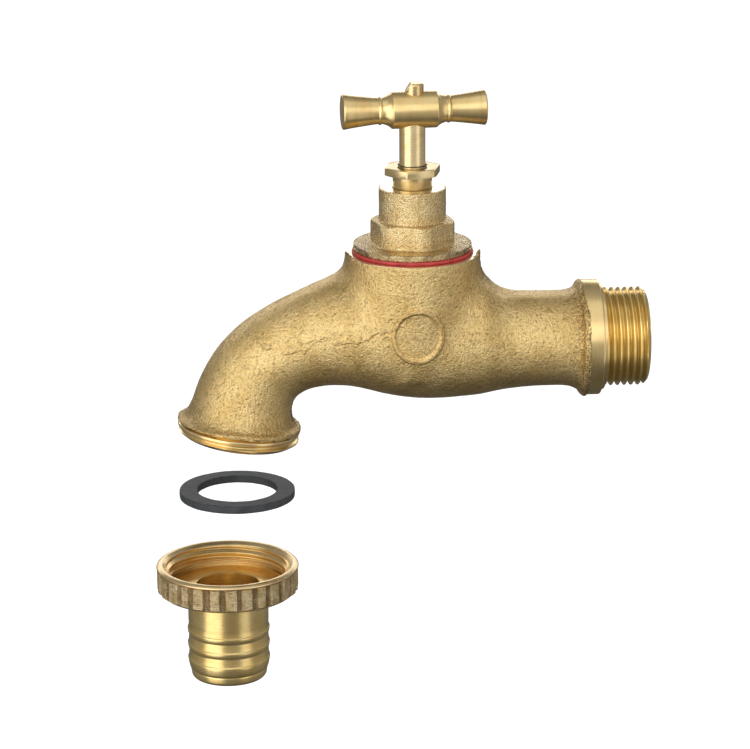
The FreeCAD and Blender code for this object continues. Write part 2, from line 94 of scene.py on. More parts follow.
# The cold laps that the mould left on the front of the spout, as (x, z)
COLD_LINES = (
    ((-57.2, 7.8), (-57.9, 7.3), (-58.4, 6.8), (-58.8, 7.2), (-59.5, 6.9), (-60.0, 6.4),
     (-60.8, 6.8), (-61.3, 6.9), (-62.0, 6.4), (-62.8, 5.9), (-63.2, 5.3), (-63.7, 4.8),
     (-64.5, 4.8), (-65.1, 4.5), (-65.8, 4.4), (-66.5, 3.7), (-67.1, 4.0), (-67.9, 4.3),
     (-68.7, 4.0), (-69.6, 3.9), (-70.5, 3.7), (-71.2, 3.9), (-72.0, 3.5), (-72.7, 3.3),
     (-73.3, 4.0)),
    ((-74.0, 4.5), (-74.6, 4.6), (-75.3, 4.5), (-75.9, 4.2), (-76.7, 4.3), (-77.5, 4.0),
     (-78.1, 3.5), (-78.8, 2.8), (-79.4, 2.1), (-80.1, 1.7), (-80.8, 1.7), (-81.4, 1.8),
     (-82.1, 1.5), (-82.7, 1.2), (-83.4, 1.0), (-84.2, 0.7), (-84.9, 0.8), (-85.6, 0.5),
     (-86.1, 0.9)),
    ((-74.6, 5.3), (-75.4, 5.1), (-76.2, 4.8)),
    ((-77.5, 4.7), (-78.5, 4.4), (-79.2, 3.8)),
    ((-58.5, 5.9), (-59.4, 5.6), (-60.0, 5.2)),
    ((-92.8, 3.7), (-92.3, 3.4), (-91.8, 2.9), (-91.4, 2.5), (-90.9, 2.1)),
    ((-90.3, 1.8), (-89.9, 1.9), (-89.2, 2.2), (-88.7, 2.1)),
)
# Patches of rougher skin on the front, as (x, z), size and strength
ROUGH_SPOTS = (((-69.5, 15.5), 4.0, 1.0), ((-59.5, 7.0), 5.0, 0.9), ((-36.0, 19.0), 4.0, 0.7),
               ((-90.0, 3.0), 4.0, 0.5))
# Thin fins on the neck's outer edge: their place and half width in degrees, and their height
FINS = ((-169, 13, 1.3), (-11, 9, 1.1), (-24, 7, 0.3), (-150, 8, 0.25))
# The casting's lip over the inlet's collar, as (x, radius), at its sides, on top and underneath
SIDE_LIP = ((-7.2, 0), (-6.7, 14.4), (-6.2, 15.66), (-4.6, 15.76))
TOP_LIP = ((-7.5, 0), (-7.25, 13.2), (-7.0, 14.5), (-6.4, 15.4), (-5.7, 15.64), (-4.6, 15.7))
LOW_LIP = ((-7.2, 0), (-6.3, 15.0), (-5.7, 15.6), (-5.2, 16.0), (-4.8, 15.85))


# Nodes

def put_in(socket, value):
    if isinstance(value, bpy.types.NodeSocket):
        socket.id_data.links.new(value, socket)
    else:
        socket.default_value = value


def add(tree, kind, inputs=None, **settings):
    """A node with its settings. An input, by name or number, is a value or another node's output."""
    made = tree.nodes.new(kind)
    for key, value in settings.items():
        setattr(made, key, value)
    for key, value in (inputs or {}).items():
        put_in(made.inputs[key], value)
    return made


def tree_of(values):
    """The node tree of the first output among the values, which a helper adds its node to."""
    return next(value.id_data for value in values if isinstance(value, bpy.types.NodeSocket))


def calc(operation, *values):
    """What a sum on numbers and other nodes' outputs gives."""
    return add(tree_of(values), "ShaderNodeMath", dict(enumerate(values)), operation=operation).outputs[0]


def vectors(operation, *values):
    """The outputs of a sum on vectors."""
    return add(tree_of(values), "ShaderNodeVectorMath", dict(enumerate(values)), operation=operation).outputs


def plus(first, second):
    return calc("ADD", first, second)


def minus(first, second):
    return calc("SUBTRACT", first, second)


def times(first, second):
    return calc("MULTIPLY", first, second)


def larger(first, second):
    return calc("MAXIMUM", first, second)


def ramp(value, low, high, to_low=0.0, to_high=1.0):
    """Smooth step of a value from low to high."""
    limits = {"Value": value, "From Min": low, "From Max": high, "To Min": to_low, "To Max": to_high}
    return add(value.id_data, "ShaderNodeMapRange", limits, interpolation_type="SMOOTHSTEP").outputs["Result"]


def blend(share, first, second):
    """A colour between two others."""
    return add(share.id_data, "ShaderNodeMix", {0: share, 6: first, 7: second}, data_type="RGBA").outputs[2]


def cloud(place, scale, detail, roughness=0.5):
    """Soft noise about 0.5 at the given number of lumps a metre."""
    return add(place.id_data, "ShaderNodeTexNoise", {"Vector": place, "Scale": scale, "Detail": detail,
                                                     "Roughness": roughness}).outputs[0]


def new_group(name, inputs, outputs, family="ShaderNodeTree"):
    """An empty node group. An input is given by its usual number or colour, or by its kind of socket."""
    tree = bpy.data.node_groups.new(name, family)
    for label, usual in inputs.items():
        kind = {float: "Float", tuple: "Color"}.get(type(usual), usual)
        made = tree.interface.new_socket(label, in_out="INPUT", socket_type="NodeSocket" + kind)
        if kind != usual:
            made.default_value = usual
    for label, kind in outputs.items():
        tree.interface.new_socket(label, in_out="OUTPUT", socket_type="NodeSocket" + kind)
    return tree, tree.nodes.new("NodeGroupInput").outputs, tree.nodes.new("NodeGroupOutput").inputs


def cast_grain_group():
    """Sand grain of a casting: a height and a mask of the little pits between the grains."""
    inputs = {"Place": "Vector", "Grain": 0.0006}
    tree, given, out = new_group("Cast grain", inputs, {"Height": "Float", "Pits": "Float"})
    per_metre = calc("DIVIDE", 1.0, given["Grain"])
    coarse = cloud(given["Place"], per_metre, 3.0, 0.6)
    fine = cloud(given["Place"], times(per_metre, 2.6), 2.0)
    cells = add(tree, "ShaderNodeTexVoronoi", {"Vector": given["Place"], "Scale": times(per_metre, 0.8)})
    pits = ramp(cells.outputs["Distance"], 0.32, 0.05)
    height = plus(times(coarse, 0.7), times(fine, 0.3))
    put_in(out["Height"], minus(height, times(pits, 0.15)))
    put_in(out["Pits"], pits)
    return tree


def drift_group():
    """Slow drift between two tones of one metal."""
    inputs = {"Place": "Vector", "Size": 0.006, "Pale": (0.8, 0.6, 0.3, 1), "Deep": (0.6, 0.4, 0.2, 1)}
    tree, given, out = new_group("Tone drift", inputs, {"Color": "Color", "Share": "Float"})
    clouds = cloud(given["Place"], calc("DIVIDE", 1.0, given["Size"]), 3.0, 0.55)
    share = ramp(clouds, 0.34, 0.66)
    put_in(out["Share"], share)
    put_in(out["Color"], blend(share, given["Pale"], given["Deep"]))
    return tree


def turning_group():
    """Marks that a lathe tool leaves round a piece, from the place along its axis."""
    inputs = {"Along": 0.0, "Pitch": 0.0002}
    tree, given, out = new_group("Turning marks", inputs, {"Height": "Float", "Lines": "Float"})
    place = calc("DIVIDE", given["Along"], given["Pitch"])
    rings = add(tree, "ShaderNodeTexNoise", {"W": place, "Scale": 1.0, "Detail": 2.0}, noise_dimensions="1D")
    bands = add(tree, "ShaderNodeTexNoise", {"W": place, "Scale": 0.22, "Detail": 3.0, "Roughness": 0.7},
                noise_dimensions="1D")
    put_in(out["Height"], rings.outputs[0])
    put_in(out["Lines"], ramp(bands.outputs[0], 0.56, 0.7))
    return tree


# Finishes

def new_finish(name, metallic=1.0):
    """A new material with its principled shader and the place on the piece."""
    material = bpy.data.materials.new(name)
    material.use_nodes = True
    shader = material.node_tree.nodes["Principled BSDF"]
    shader.inputs["Metallic"].default_value = metallic
    return material, shader, add(material.node_tree, "ShaderNodeTexCoord").outputs["Object"]


def colour_in(shader, colour, rough, value, share):
    """Sets the shader's colour, and its roughness with a share of a value added."""
    put_in(shader.inputs["Base Color"], colour)
    put_in(shader.inputs["Roughness"], plus(rough, times(value, share)))


def bump(shader, height, strength, distance):
    values = {"Height": height, "Strength": strength, "Distance": distance}
    put_in(shader.inputs["Normal"], add(height.id_data, "ShaderNodeBump", values).outputs[0])


def stored(place, name):
    """A value that the mesh holds at the place."""
    return add(place.id_data, "ShaderNodeAttribute", attribute_name=name).outputs["Fac"]


def use(group, **inputs):
    return add(tree_of(inputs.values()), "ShaderNodeGroup", inputs, node_tree=group).outputs


def tones(drift, place, size, pale, deep):
    return use(drift, Place=place, Size=size, Pale=(*pale, 1), Deep=(*deep, 1))


def cast_brass(grain, drift):
    """Sand-cast brass: grainy, with pits, stains on its scars and fins, painted shade near the flares, and
    cold lines from the mould with a painted shadow along them.
    """
    material, shader, place = new_finish("cast brass")
    sand = use(grain, Place=place, Grain=0.0005)
    coarse = use(grain, Place=place, Grain=0.00105)
    tone = tones(drift, place, 0.007, (0.88, 0.64, 0.28), (0.74, 0.51, 0.20))
    waver = times(minus(cloud(place, 2200.0, 2.0), 0.5), 0.7)
    # Painted shadow along each cold lap darkens the colour; the same line also cuts a shallow groove in the
    # bump
    line = ramp(plus(stored(place, "cold_line"), waver), 0.26, 0.0)
    line = times(line, ramp(coarse["Height"], 0.36, 0.56))
    hollow = ramp(plus(sand["Height"], coarse["Height"]), 1.0, 0.78)
    # Stains on scars, fins and a rough patch, and painted shade near the flares and by the inlet's collar
    stain_and_shade = times(stored(place, "stain_and_shade"), ramp(sand["Height"], 0.60, 0.40))
    dark = larger(times(line, 0.5), times(stain_and_shade, 0.8))
    dark = larger(dark, times(hollow, 0.5))
    colour = blend(dark, tone["Color"], (0.14, 0.095, 0.04, 1))
    colour_in(shader, colour, plus(0.22, times(sand["Height"], 0.12)), dark, 0.2)
    height = plus(sand["Height"], times(coarse["Height"], 0.7))
    bump(shader, minus(height, times(line, 0.25)), 1.0, 0.0004)
    return material


def forged_brass(grain, drift):
    """Blasted forging: finer and duller than the casting, with dirt on the flange rim and painted shade on
    the flange top, where it is marked.
    """
    material, shader, place = new_finish("forged brass")
    sand = use(grain, Place=place, Grain=0.00055)
    tone = tones(drift, place, 0.004, (0.90, 0.70, 0.36), (0.75, 0.54, 0.25))
    # The mark holds dirt on the flange rim and painted shade on the flange top beneath the hexagon
    dirt_and_shade = times(stored(place, "stain_and_shade"), ramp(tone["Share"], 0.1, 0.7, 0.6, 1.0))
    hollow = ramp(sand["Height"], 0.52, 0.36)
    dark = larger(times(hollow, 0.34), times(dirt_and_shade, 0.95))
    colour_in(shader, blend(dark, tone["Color"], (0.15, 0.115, 0.07, 1)), 0.21, sand["Height"], 0.12)
    bump(shader, sand["Height"], 1.0, 0.0005)
    return material


def grip_brass(grain, drift):
    """The union nut's cast ribs: greyer and rougher, with painted shade between the ribs."""
    material, shader, place = new_finish("grip brass")
    sand = use(grain, Place=place, Grain=0.0006)
    tone = tones(drift, place, 0.0024, (0.80, 0.63, 0.37), (0.54, 0.39, 0.18))
    hollow = ramp(sand["Height"], 0.52, 0.34)
    # Painted shade between the ribs, with darker grain hollows
    dark = larger(times(hollow, 0.5), times(stored(place, "valley_shade"), 0.7))
    colour_in(shader, blend(dark, tone["Color"], (0.14, 0.09, 0.04, 1)), 0.36, sand["Height"], 0.12)
    bump(shader, sand["Height"], 1.0, 0.0006)
    return material


def turned_brass(drift, turning, name, centre, axis, pale, deep, rough, lines, valley_shade=0.0, pitch=0.00018):
    """Bright brass with tool marks round the given axis, and painted shade in its marked valleys."""
    material, shader, place = new_finish(name)
    shifted = vectors("SUBTRACT", place, Vector(centre) * MM)[0]
    along = vectors("DOT_PRODUCT", shifted, Vector(axis))["Value"]
    marks = use(turning, Along=along, Pitch=pitch)
    colour = tones(drift, place, 0.005, pale, deep)["Color"]
    # Painted shade in the marked valleys of a thread or barbs, tinted brown
    if valley_shade:
        share = times(stored(place, "valley_shade"), valley_shade)
        colour = blend(share, colour, (0.48, 0.31, 0.09, 1))
    dark = times(marks["Lines"], lines)
    colour_in(shader, blend(dark, colour, (0.30, 0.17, 0.05, 1)), rough, marks["Height"], 0.08)
    bump(shader, marks["Height"], 0.25, 0.000012)
    return material


def soft_stuff(grain, drift, name, pale, deep, rough, size, strength):
    """Rubber, fibre, a thin dark ring or a sealing ring: matt, faintly mottled."""
    material, shader, place = new_finish(name, 0.0)
    specks = use(grain, Place=place, Grain=size)
    tone = tones(drift, place, size * 6, pale, deep)
    colour = blend(times(specks["Pits"], 0.35), tone["Color"], (*deep, 1))
    colour_in(shader, colour, rough, specks["Height"], 0.1)
    bump(shader, specks["Height"], strength, 0.00012)
    return material


def make_materials():
    """Every finish of the tap by its name."""
    grain, drift, turning = cast_grain_group(), drift_group(), turning_group()
    inlet, outlet = ((0, 0, 0), (1, 0, 0)), (OUTLET_CENTRE, OUTLET_AXIS)
    valve, union = (VALVE, UP), ((0, 0, 0), UP)
    handle = ((VALVE_X + HANDLE_SHIFT, 0, 0), HANDLE_LINE)
    # Each turned finish: the line it was turned on, its pale and deep tone, its roughness, the strength
    # of its lines and of the painted shade in its valleys, and the pitch of its marks
    turned = (
        ("faced brass", valve, (0.97, 0.88, 0.66), (0.92, 0.80, 0.55), 0.22, 0.06),
        ("spindle brass", valve, (0.87, 0.69, 0.38), (0.78, 0.56, 0.25), 0.24, 0.15),
        ("gland nut brass", valve, (0.76, 0.60, 0.32), (0.62, 0.46, 0.22), 0.26, 0.2),
        ("handle brass", handle, (0.87, 0.66, 0.31), (0.79, 0.56, 0.235), 0.27, 0.14, 0.0, 0.00028),
        ("collar brass", inlet, (0.91, 0.69, 0.33), (0.86, 0.62, 0.27), 0.24, 0.12),
        ("thread brass", inlet, (0.92, 0.73, 0.34), (0.87, 0.64, 0.25), 0.24, 0.1, 0.4),
        ("outlet brass", outlet, (0.88, 0.69, 0.36), (0.80, 0.59, 0.28), 0.25, 0.15, 0.25),
        ("nut brass", union, (0.82, 0.64, 0.36), (0.72, 0.53, 0.27), 0.3, 0.15),
        ("nut thread brass", union, (0.91, 0.66, 0.32), (0.82, 0.55, 0.22), 0.3, 0.1, 0.35),
        ("tail brass", union, (0.92, 0.70, 0.31), (0.83, 0.60, 0.23), 0.24, 0.2, 0.35, 0.00035),
    )
    # Each soft finish: its pale and deep tone, its roughness, the size of its specks and how they stand out
    soft = (
        ("red fibre", (0.54, 0.05, 0.045), (0.38, 0.025, 0.025), 0.45, 0.0005, 0.3),
        ("dark ring", (0.05, 0.035, 0.02), (0.02, 0.014, 0.01), 0.5, 0.0005, 0.2),
        ("black rubber", (0.030, 0.034, 0.036), (0.016, 0.018, 0.020), 0.5, 0.0007, 0.45),
        ("sealing ring", (0.8, 0.79, 0.75), (0.7, 0.68, 0.62), 0.5, 0.0005, 0.3),
    )
    made = [cast_brass(grain, drift), forged_brass(grain, drift), grip_brass(grain, drift)]
    made += [turned_brass(drift, turning, name, *line, *values) for name, line, *values in turned]
    made += [soft_stuff(grain, drift, *values) for values in soft]
    return {material.name: material for material in made}


# Repeats: threads and ribs

def polar(place):
    """The parts of a place, its radius about Z and its turn, from -0.5 to 0.5."""
    parts = add(place.id_data, "ShaderNodeSeparateXYZ", {0: place}).outputs
    squares = plus(calc("POWER", parts["X"], 2.0), calc("POWER", parts["Y"], 2.0))
    turn = calc("DIVIDE", calc("ARCTAN2", parts["Y"], parts["X"]), 2 * math.pi)
    return parts, calc("SQRT", squares), turn


def move_to_radius(tree, given, valley_shade, parts, old, new, marked):
    """Stores the valleys as a mask for painted shade, takes the marked points of a shape to a new radius and
    gives them their finish.
    """
    keep = add(tree, "GeometryNodeStoreNamedAttribute", {"Geometry": given["Geometry"], "Name": "valley_shade",
                                                         "Value": valley_shade}, data_type="FLOAT", domain="POINT")
    share = calc("DIVIDE", new, old)
    place = add(tree, "ShaderNodeCombineXYZ", {"X": times(parts["X"], share),
                                               "Y": times(parts["Y"], share), "Z": parts["Z"]})
    mark = add(tree, "GeometryNodeInputNamedAttribute", {"Name": marked}, data_type="FLOAT")
    chosen = calc("GREATER_THAN", mark.outputs["Attribute"], 0.5)
    moved = add(tree, "GeometryNodeSetPosition", {"Geometry": keep.outputs[0], "Position": place.outputs[0],
                                                  "Selection": chosen})
    real = add(tree, "GeometryNodeRealizeInstances", {"Geometry": moved.outputs[0]})
    return add(tree, "GeometryNodeSetMaterial", {"Geometry": real.outputs[0], "Material": given["Surface"],
                                                 "Selection": chosen}).outputs[0]


def thread_tree():
    """Cuts a right-handed thread into the marked band of a turned piece. Side is 1 outside, -1 inside."""
    tree, given, out = new_group("Cut thread", {
        "Geometry": "Geometry", "Pitch": 0.002, "Depth": 0.001, "Crest radius": 0.01, "Low": 0.0,
        "High": 0.01, "Run out": 0.001, "Phase": 0.0, "Side": 1.0, "Ends cut": 0.0, "Surface": "Material",
    }, {"Geometry": "Geometry"}, "GeometryNodeTree")
    parts, radius, turn = polar(add(tree, "GeometryNodeInputPosition").outputs[0])
    height = parts["Z"]
    turns = minus(calc("DIVIDE", height, given["Pitch"]), turn)
    along = calc("FRACT", plus(turns, given["Phase"]))
    away = calc("ABSOLUTE", minus(times(along, 2.0), 1.0))
    groove = ramp(away, 0.93, 0.04)
    fade = times(ramp(minus(height, given["Low"]), 0.0, given["Run out"]),
                 ramp(minus(given["High"], height), 0.0, given["Run out"]))
    ends = times(given["Ends cut"], minus(1.0, fade))
    share = plus(times(groove, fade), ends)
    crest = times(given["Crest radius"], given["Side"])
    limit = minus(crest, times(share, given["Depth"]))
    new = calc("MINIMUM", times(radius, given["Side"]), limit)
    new = times(new, given["Side"])
    # The groove's share is stored as the mask for painted shade in the thread's valleys
    put_in(out["Geometry"], move_to_radius(tree, given, share, parts, radius, new, "cut"))
    return tree


def rib_tree():
    """Raises upright ribs round the marked band of a turned piece, each a little uneven as cast."""
    tree, given, out = new_group("Raise ribs", {
        "Geometry": "Geometry", "Count": 27.0, "Rib radius": 0.0189, "Root radius": 0.0181,
        "Share": 0.5, "Softness": 0.06, "Phase": 0.0, "Low": 0.0, "Foot": 0.0006, "Unevenness": 0.05,
        "Surface": "Material",
    }, {"Geometry": "Geometry"}, "GeometryNodeTree")
    place = add(tree, "GeometryNodeInputPosition").outputs[0]
    parts, radius, turn = polar(place)
    upright = vectors("MULTIPLY", place, (1, 1, 0.08))[0]
    waver = times(minus(cloud(upright, 260.0, 2.0), 0.5), given["Unevenness"])
    count = plus(times(turn, given["Count"]), given["Phase"])
    along = calc("FRACT", plus(count, waver))
    away = calc("ABSOLUTE", minus(along, 0.5))
    half = times(given["Share"], 0.5)
    rib = ramp(away, plus(half, given["Softness"]), minus(half, given["Softness"]))
    foot = ramp(minus(parts["Z"], given["Low"]), 0.0, given["Foot"])
    rise = times(minus(given["Rib radius"], given["Root radius"]), times(rib, foot))
    new = plus(plus(given["Root radius"], rise), times(waver, 0.001))
    new = calc("MINIMUM", new, given["Rib radius"])
    # The space between the ribs is stored as the mask for painted shade there
    put_in(out["Geometry"], move_to_radius(tree, given, minus(1.0, rib), parts, radius, new, "grip"))
    return tree


def bake(obj):
    """Turns what the modifiers show into the object's plain mesh."""
    bpy.context.view_layer.update()
    graph = bpy.context.evaluated_depsgraph_get()
    made = bpy.data.meshes.new_from_object(obj.evaluated_get(graph))
    obj.modifiers.clear()
    old, obj.data = obj.data, made
    bpy.data.meshes.remove(old)


def modify(obj, kind, **settings):
    """Runs a modifier on an object and keeps the result as its plain mesh."""
    modifier = obj.modifiers.new(kind.lower(), kind)
    for key, value in settings.items():
        setattr(modifier, key, value)
    bake(obj)


def work(obj, tree, values):
    """Runs a node tree on an object and keeps the result as its plain mesh."""
    modifier = obj.modifiers.new(tree.name, "NODES")
    modifier.node_group = tree
    for item in tree.interface.items_tree:
        if item.in_out == "INPUT" and item.name in values:
            modifier[item.identifier] = values[item.name]
    bake(obj)


def cut_thread(obj, tree, pitch, depth, crest, low, high, run_out, phase, surface, side=1.0, ends=0.0):
    """Cuts a thread with the sizes in millimetres, from low to high on the piece's own axis."""
    work(obj, tree, {"Pitch": pitch * MM, "Depth": depth * MM, "Crest radius": crest * MM, "Low": low * MM,
                     "High": high * MM, "Run out": run_out * MM, "Phase": phase, "Side": side,
                     "Ends cut": ends, "Surface": surface})


# Meshes

def new_thing(name, data):
    """An object in the scene with the given data."""
    obj = bpy.data.objects.new(name, data)
    bpy.context.scene.collection.objects.link(obj)
    return obj


def new_object(name, points, faces, materials):
    mesh = bpy.data.meshes.new(name)
    mesh.from_pydata(points, [], faces)
    for material in materials:
        mesh.materials.append(material)
    return new_thing(name, mesh)


def tidy(obj, merge=None):
    """Merges doubles where asked, and turns the faces outward."""
    mesh = bmesh.new()
    mesh.from_mesh(obj.data)
    if merge:
        bmesh.ops.remove_doubles(mesh, verts=mesh.verts, dist=merge * MM)
    bmesh.ops.recalc_face_normals(mesh, faces=mesh.faces)
    mesh.to_mesh(obj.data)
    mesh.free()


def smooth(obj, angle):
    """Smooth shading, apart from edges that turn by more than the angle in degrees."""
    obj.data.polygons.foreach_set("use_smooth", [True] * len(obj.data.polygons))
    obj.data.set_sharp_from_angle(angle=math.radians(angle))


def bevel(obj, width, least_angle):
    modify(obj, "BEVEL", width=width * MM, segments=2, limit_method="ANGLE",
           angle_limit=math.radians(least_angle))


def round_corners(profile, size):
    """The closed profile with its corners rounded off by up to the size, or by their own third value."""
    rounded = []
    count = len(profile)
    for index, point in enumerate(profile):
        here = Vector(point[:2])
        before = Vector(profile[index - 1][:2]) - here
        after = Vector(profile[(index + 1) % count][:2]) - here
        wanted = point[2] if len(point) > 2 else size
        reach = min(wanted, before.length * 0.45, after.length * 0.45)
        straight = before.normalized().dot(after.normalized()) < -0.97
        if reach < 0.01 or straight or here.x < 0.001:
            rounded.append(tuple(here))
            continue
        start, end = here + before.normalized() * reach, here + after.normalized() * reach
        for share in (0.0, 0.33, 0.67, 1.0):
            first, second = start.lerp(here, share), here.lerp(end, share)
            rounded.append(tuple(first.lerp(second, share)))
    return rounded


def close_rings(outline, band, spacing):
    """The outline's points, with more of them where it runs inside the band (low, high, inner, outer)."""
    low, high, inner, outer = band
    fine = []
    for here, there in zip(outline, outline[1:] + outline[:1]):
        fine.append(here)
        if low <= (here[1] + there[1]) / 2 <= high and inner <= (here[0] + there[0]) / 2 <= outer:
            wide, tall = there[0] - here[0], there[1] - here[1]
            steps = max(1, int(math.hypot(wide, tall) / spacing))
            fine += [(here[0] + wide * k / steps, here[1] + tall * k / steps) for k in range(1, steps)]
    return fine


def turn_piece(name, profile, material, around=160, rounding=0.15, band=None, spacing=None, mark=None):
    """A turned piece about Z from a closed profile of (radius, height), in millimetres.
    A band (low, high, inner, outer) is given close rings for a thread or ribs, and marked."""
    outline = round_corners(profile, rounding)
    rings = np.array(close_rings(outline, band, spacing) if band else outline)
    angles = np.linspace(0, 2 * math.pi, around, endpoint=False)
    points = np.stack([np.outer(rings[:, 0], np.cos(angles)), np.outer(rings[:, 0], np.sin(angles)),
                       np.repeat(rings[:, 1:2], around, 1)], axis=2).reshape(-1, 3) * MM
    faces = []
    for row in range(len(rings)):
        here, below = row * around, (row + 1) % len(rings) * around
        for column in range(around):
            beside = (column + 1) % around
            faces.append((here + column, here + beside, below + beside, below + column))
    obj = new_object(name, points.tolist(), faces, [material])
    if mark:
        inside = ((rings[:, 1] >= band[0] - 0.001) & (rings[:, 1] <= band[1] + 0.001)
                  & (rings[:, 0] >= band[2]) & (rings[:, 0] <= band[3]))
        store(obj.data, mark, np.repeat(inside, around))
    tidy(obj, 0.0005 if rings[:, 0].min() < 0.001 else None)
    return obj


def lay(obj, place, axis, side):
    """Lays a piece that was made about Z: its Z along the axis, its X along the side, at the place."""
    axis, side = Vector(axis), Vector(side)
    turn = Matrix((side, axis.cross(side), axis)).transposed().to_4x4()
    obj.data.transform(Matrix.Translation(Vector(place) * MM) @ turn)
    obj.data.update()


def dress(obj, body, slot, *nodes):
    """The finished piece rides on its body and stands for the nodes."""
    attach(obj, body)
    if nodes:
        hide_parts(*nodes)


def settle(obj, place, sharp, body, slot, *nodes, axis=UP, side=(1, 0, 0)):
    """Lays a piece in its place, smooths it and dresses its body with it."""
    lay(obj, place, axis, side)
    smooth(obj, sharp)
    dress(obj, body, slot, *nodes)


def points_of(mesh):
    """The mesh's points in millimetres."""
    points = np.zeros(len(mesh.vertices) * 3)
    mesh.vertices.foreach_get("co", points)
    return points.reshape(-1, 3) / MM


def normals_of(mesh):
    normals = np.zeros(len(mesh.vertices) * 3)
    mesh.vertices.foreach_get("normal", normals)
    return normals.reshape(-1, 3)


def set_points(mesh, points):
    mesh.vertices.foreach_set("co", (points * MM).ravel())
    mesh.update()


def store(mesh, name, values):
    """Keeps a value for each point under the name, for a finish to read."""
    made = mesh.attributes.new(name, "FLOAT", "POINT")
    made.data.foreach_set("value", values.astype(np.float32))


def neighbour_mean(mesh):
    """A function that gives each point the mean of its neighbours."""
    edges = np.zeros(len(mesh.edges) * 2, int)
    mesh.edges.foreach_get("vertices", edges)
    first, second = edges.reshape(-1, 2).T
    count = len(mesh.vertices)
    share = np.bincount(first, minlength=count) + np.bincount(second, minlength=count)

    def mean(values):
        total = [np.bincount(first, values[second, k], count) + np.bincount(second, values[first, k], count)
                 for k in range(values.shape[1])]
        return np.stack(total, 1) / share[:, None]

    return mean


def fill_hollows(mesh, weight, rounds):
    """Rounds off the inner corners where two shapes meet, and leaves what stands out as it is."""
    mean = neighbour_mean(mesh)
    points = points_of(mesh)
    for turn in range(rounds):
        if turn % 10 == 0:
            set_points(mesh, points)
            normals = normals_of(mesh)
        shift = ((mean(points) - points) * normals).sum(1)
        points = points + normals * (np.maximum(shift, 0) * weight)[:, None]
    set_points(mesh, points)


def even_out(mesh, weight, rounds):
    """Smooths the mesh by a weight for each point."""
    mean = neighbour_mean(mesh)
    points = points_of(mesh)
    for _ in range(rounds):
        points = points + (mean(points) - points) * (0.5 * weight)[:, None]
    set_points(mesh, points)


def waves(points, size, octaves=2):
    """Smooth noise of about the given size at each point, from -1 to 1."""
    return np.array([noise.fractal(Vector(point) / size, 0.8, 2.0, octaves) for point in points])


def step(values, low, high):
    """Smooth step from 0 at low to 1 at high."""
    share = np.clip((values - low) / (high - low), 0, 1)
    return share * share * (3 - 2 * share)


def near(values, full, none):
    """1 for values within full of zero, fading to 0 at none."""
    return step(-np.abs(values), -none, -full)


def line_distance(points, line):
    """Distance of each (x, z) from a line of points, and how far it lies above the line."""
    best, above = np.full(len(points), 99.0), np.zeros(len(points))
    for start, end in zip(line, line[1:]):
        start, end = np.array(start), np.array(end)
        run = end - start
        share = np.clip(((points - start) @ run) / (run @ run), 0, 1)
        away = points - start - share[:, None] * run
        distance = np.linalg.norm(away, axis=1)
        above = np.where(distance < best, away[:, 1], above)
        best = np.minimum(best, distance)
    return best, above


def refine(obj, chosen, cuts):
    """Divides the mesh more finely where chosen."""
    mesh = bmesh.new()
    mesh.from_mesh(obj.data)
    edges = [edge for edge in mesh.edges if chosen[edge.verts[0].index] and chosen[edge.verts[1].index]]
    bmesh.ops.subdivide_edges(mesh, edges=edges, cuts=cuts, use_grid_fill=True)
    mesh.to_mesh(obj.data)
    mesh.free()


def copy_node(name, piece, material):
    """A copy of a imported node's mesh, with its loose triangles joined."""
    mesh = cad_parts[name].data.copy()
    mesh.materials.clear()
    mesh.materials.append(material)
    obj = new_thing(piece, mesh)
    tidy(obj, 0.002)
    return obj


def box_piece(low, high):
    corners = [(x, y, z) for x in (low[0], high[0]) for y in (low[1], high[1]) for z in (low[2], high[2])]
    faces = [(0, 1, 3, 2), (4, 6, 7, 5), (0, 4, 5, 1), (2, 3, 7, 6), (0, 2, 6, 4), (1, 5, 7, 3)]
    obj = new_object("cutter", [Vector(corner) * MM for corner in corners], faces, [])
    tidy(obj)
    return obj


def cut_away(obj, cutter):
    """Cuts the other piece out of this one, and removes it."""
    modify(obj, "BOOLEAN", operation="DIFFERENCE", object=cutter, solver="EXACT")
    mesh = cutter.data
    bpy.data.objects.remove(cutter)
    bpy.data.meshes.remove(mesh)


def remesh(obj, size):
    modify(obj, "REMESH", mode="VOXEL", voxel_size=size * MM)


# The casting

def past_outlet_end(points):
    """How far each point lies past the casting's end, along the outlet's axis."""
    return (points - np.array(OUTLET_CENTRE)) @ np.array(OUTLET_AXIS)


def ring_distance(points):
    """Distance of each point from the middle line of the raised ring, seen from the front."""
    wide = (points[:, 0] - RING_PLACE.x) / RING_HALF_WIDTH
    tall = (points[:, 2] - RING_PLACE.z) / RING_HALF_HEIGHT
    away = (np.hypot(wide, tall) - 1) * (RING_HALF_WIDTH + RING_HALF_HEIGHT) / 2
    return np.where(points[:, 1] < -6, away, 99.0)


def cold_laps(points):
    """Distance of each point from the nearest cold lap on the front, and its height above it."""
    found = [line_distance(points[:, (0, 2)], line) for line in COLD_LINES]
    nearest = np.argmin([distance for distance, above in found], axis=0)
    distance = np.choose(nearest, [distance for distance, above in found])
    above = np.choose(nearest, [above for distance, above in found])
    return np.where(points[:, 1] < -4, distance, 9.0), above


def spot(points, place, size):
    """A soft patch about a place on the front, from 0 to 1."""
    away = np.hypot(points[:, 0] - place[0], points[:, 2] - place[1])
    return np.exp(-(away / size) ** 2) * (points[:, 1] < 0)


